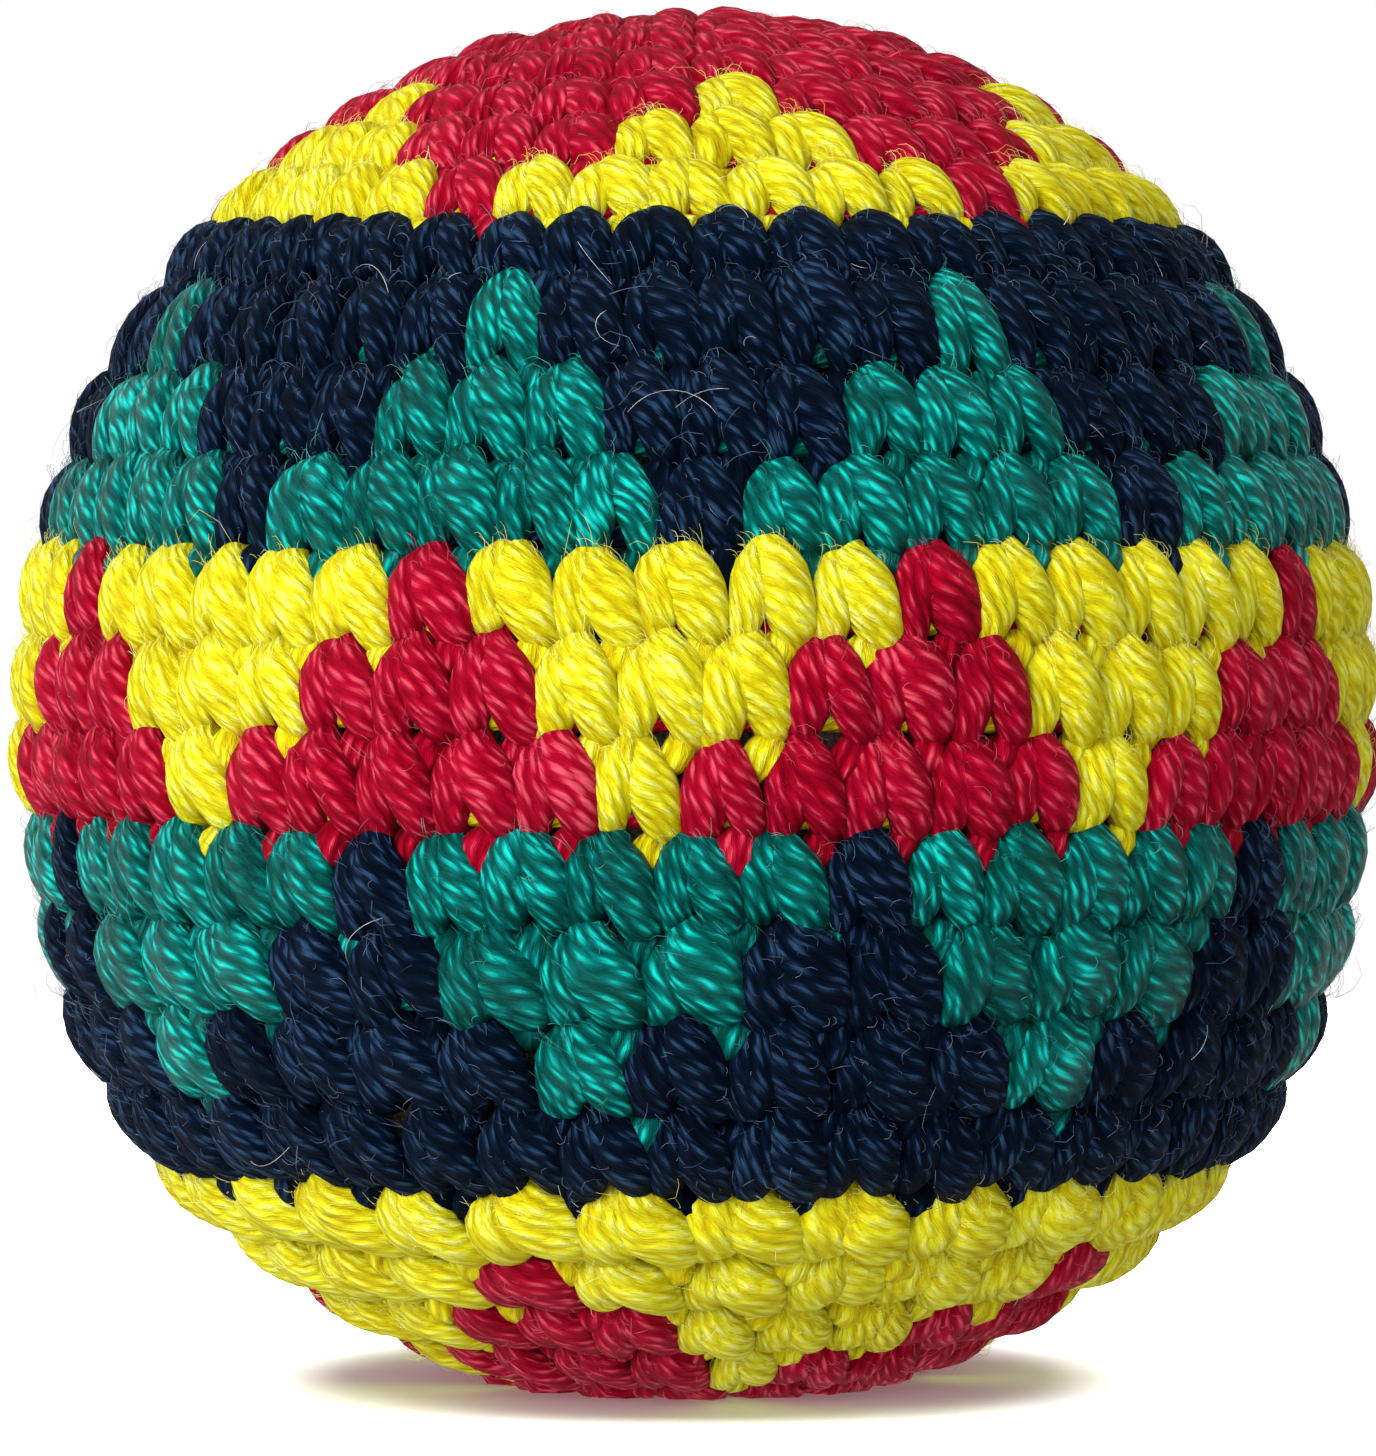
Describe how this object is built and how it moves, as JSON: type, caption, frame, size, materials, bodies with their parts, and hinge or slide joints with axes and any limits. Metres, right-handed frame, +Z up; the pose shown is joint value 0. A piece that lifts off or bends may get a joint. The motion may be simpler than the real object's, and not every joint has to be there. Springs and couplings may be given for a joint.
{
  "type": "juggling ball",
  "caption": "Stuffed crocheted juggling ball in rounds of red, yellow, navy and green cotton, with triangle motifs, over a filled liner bag.",
  "frame": {"origin": "middle of the flat patch the ball rests on", "axes": "+Z up, from the gathered base to the crown; -Y is the front, as the motifs are placed"},
  "size_m": [0.0636, 0.0636, 0.0636],
  "materials": {
    "red_cotton": "plied cotton, low sheen",
    "yellow_cotton": "plied cotton, low sheen",
    "navy_cotton": "plied cotton, matt and fuzzy",
    "green_cotton": "plied mercerised cotton, shiny",
    "liner_cloth": "plain woven cloth",
    "seam_thread": "sewing thread",
    "filling_pellets": "small pellets"
  },
  "bodies": {
    "root": {"round_01_red": "red_cotton", "round_02_red": "red_cotton", "round_03_red": "red_cotton", "round_04_red": "red_cotton", "round_05_yellow": "yellow_cotton", "round_05_red": "red_cotton", "round_06_yellow": "yellow_cotton", "round_06_red": "red_cotton", "round_07_yellow": "yellow_cotton", "round_07_red": "red_cotton", "round_08_navy": "navy_cotton", "round_09_green": "green_cotton", "round_09_navy": "navy_cotton", "round_10_green": "green_cotton", "round_10_navy": "navy_cotton", "round_11_green": "green_cotton", "round_11_navy": "navy_cotton", "round_12_yellow": "yellow_cotton", "round_12_red": "red_cotton", "round_13_yellow": "yellow_cotton", "round_13_red": "red_cotton", "round_14_yellow": "yellow_cotton", "round_14_red": "red_cotton", "round_15_green": "green_cotton", "round_15_navy": "navy_cotton", "round_16_green": "green_cotton", "round_16_navy": "navy_cotton", "round_17_green": "green_cotton", "round_17_navy": "navy_cotton", "round_18_navy": "navy_cotton", "round_19_yellow": "yellow_cotton", "round_20_yellow": "yellow_cotton", "round_20_red": "red_cotton", "round_21_yellow": "yellow_cotton", "round_21_red": "red_cotton", "round_22_yellow": "yellow_cotton", "round_22_red": "red_cotton", "round_23_red": "red_cotton", "round_24_red": "red_cotton", "starting_ring": "red_cotton", "gathering_ring": "red_cotton", "fastening_knot": "red_cotton", "liner_upper": "liner_cloth", "liner_lower": "liner_cloth", "liner_seam": "seam_thread", "filling": "filling_pellets"}
  },
  "joints": []
}
